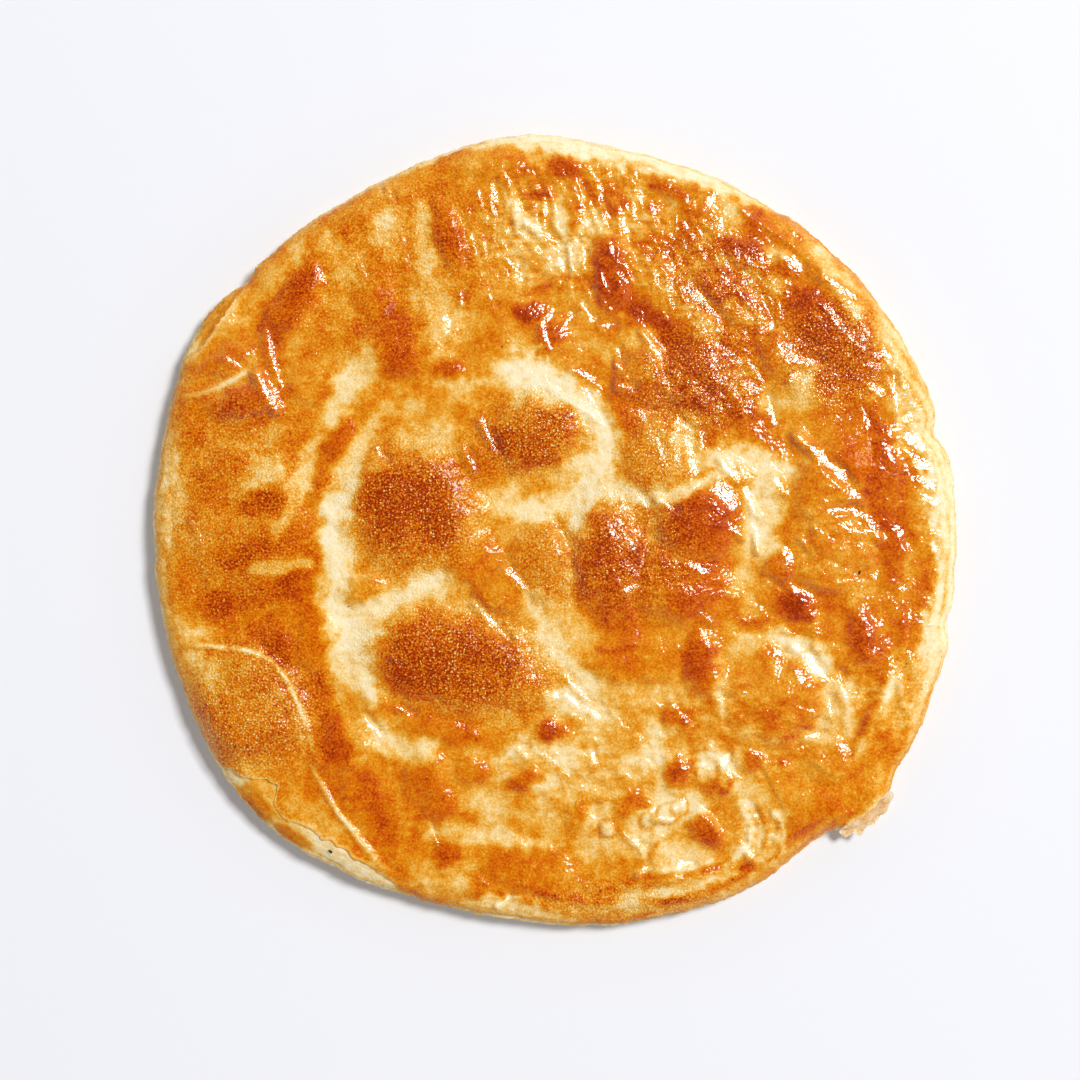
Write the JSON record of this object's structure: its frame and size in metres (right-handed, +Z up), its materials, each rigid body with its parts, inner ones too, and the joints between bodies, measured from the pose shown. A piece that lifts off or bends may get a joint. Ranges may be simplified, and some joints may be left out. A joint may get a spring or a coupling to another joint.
{
  "type": "feteer meshaltet",
  "caption": "Round flaky flatbread of many thin buttered layers, blistered and browned on top, with a torn layered rim and a flat underside.",
  "frame": {"origin": "middle of the flat underside, on the table", "axes": "+Z up through the bread, +X towards the side whose rim is torn open"},
  "size_m": [0.3024, 0.298, 0.0221],
  "materials": {
    "baked_dough": "baked layered dough, golden with dark brown blisters and cream valleys, brushed with melted butter so that it is glossy on top"
  },
  "bodies": {
    "root": {"feteer": "baked_dough"}
  },
  "joints": []
}
